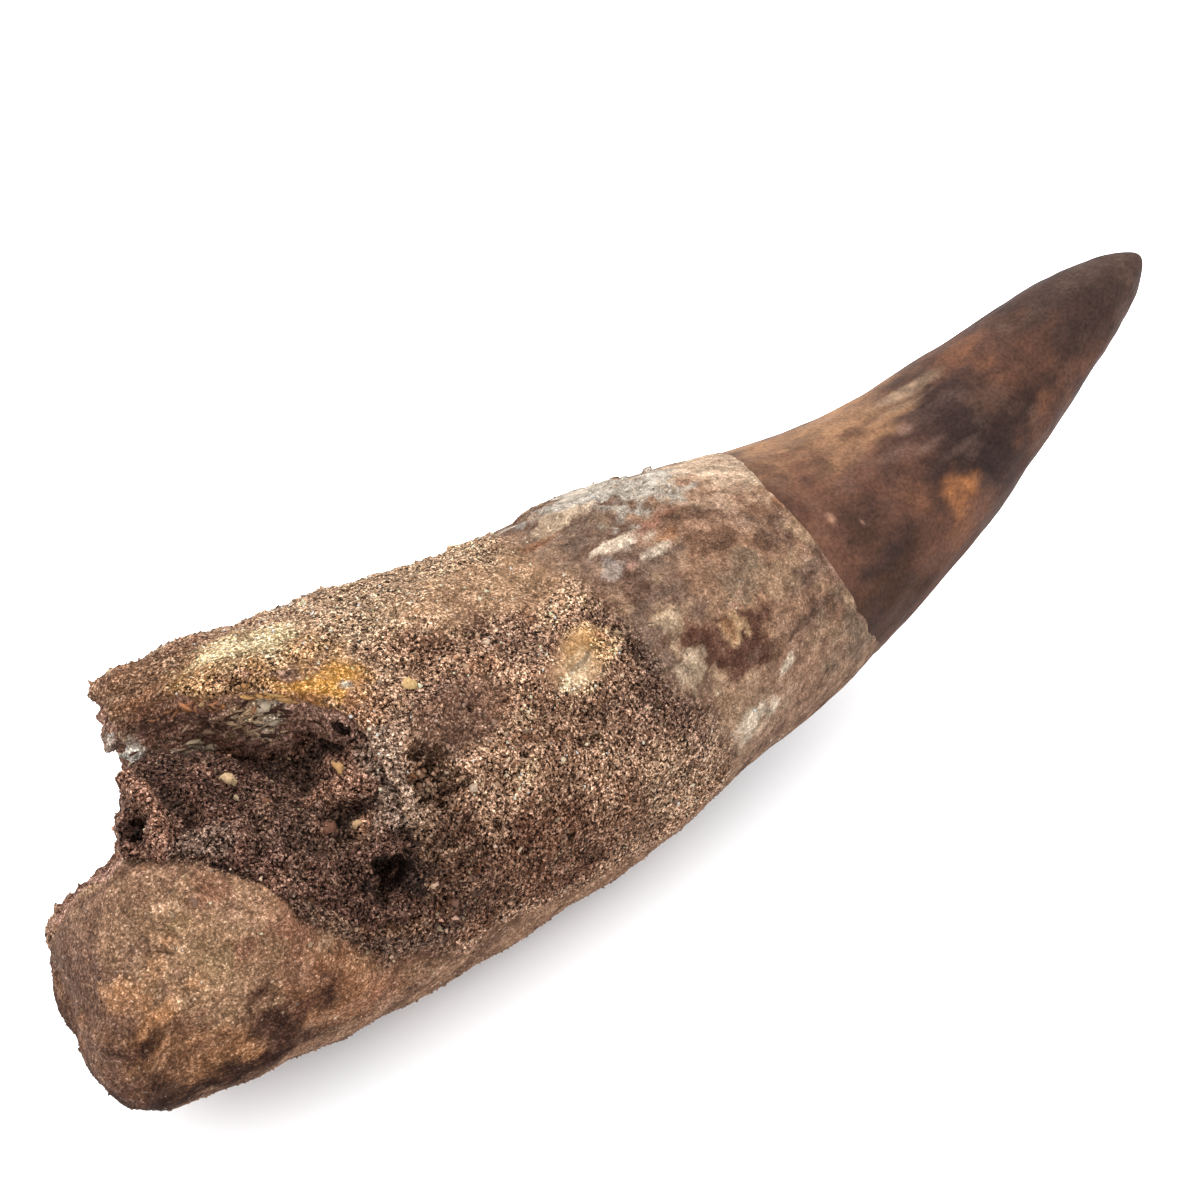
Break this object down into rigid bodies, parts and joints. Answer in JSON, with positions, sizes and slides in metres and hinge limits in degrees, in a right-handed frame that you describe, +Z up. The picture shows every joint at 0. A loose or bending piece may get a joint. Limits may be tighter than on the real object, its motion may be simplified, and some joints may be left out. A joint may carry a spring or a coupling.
{
  "type": "fossil spinosaurus tooth",
  "caption": "Long curved fossil tooth with a smooth dark crown, a sandy root broken at its end, and sandstone filling the break; lies on its convex side.",
  "frame": {"origin": "centre of the bounding box in plan, on the surface the tooth lies on", "axes": "+X from the broken root to the tip of the crown, +Z up"},
  "size_m": [0.121, 0.0344, 0.0319],
  "materials": {
    "root_crust": "matt fossil dentine under a brown sandy crust, paler and smoother towards the crown",
    "crown_enamel": "satin dark brown fossil enamel with fine lengthwise striae and orange stains",
    "sandstone_matrix": "rough dark brown sandstone with pale loose grains"
  },
  "bodies": {
    "root": {"tooth": "root_crust", "matrix": "sandstone_matrix"}
  },
  "joints": []
}
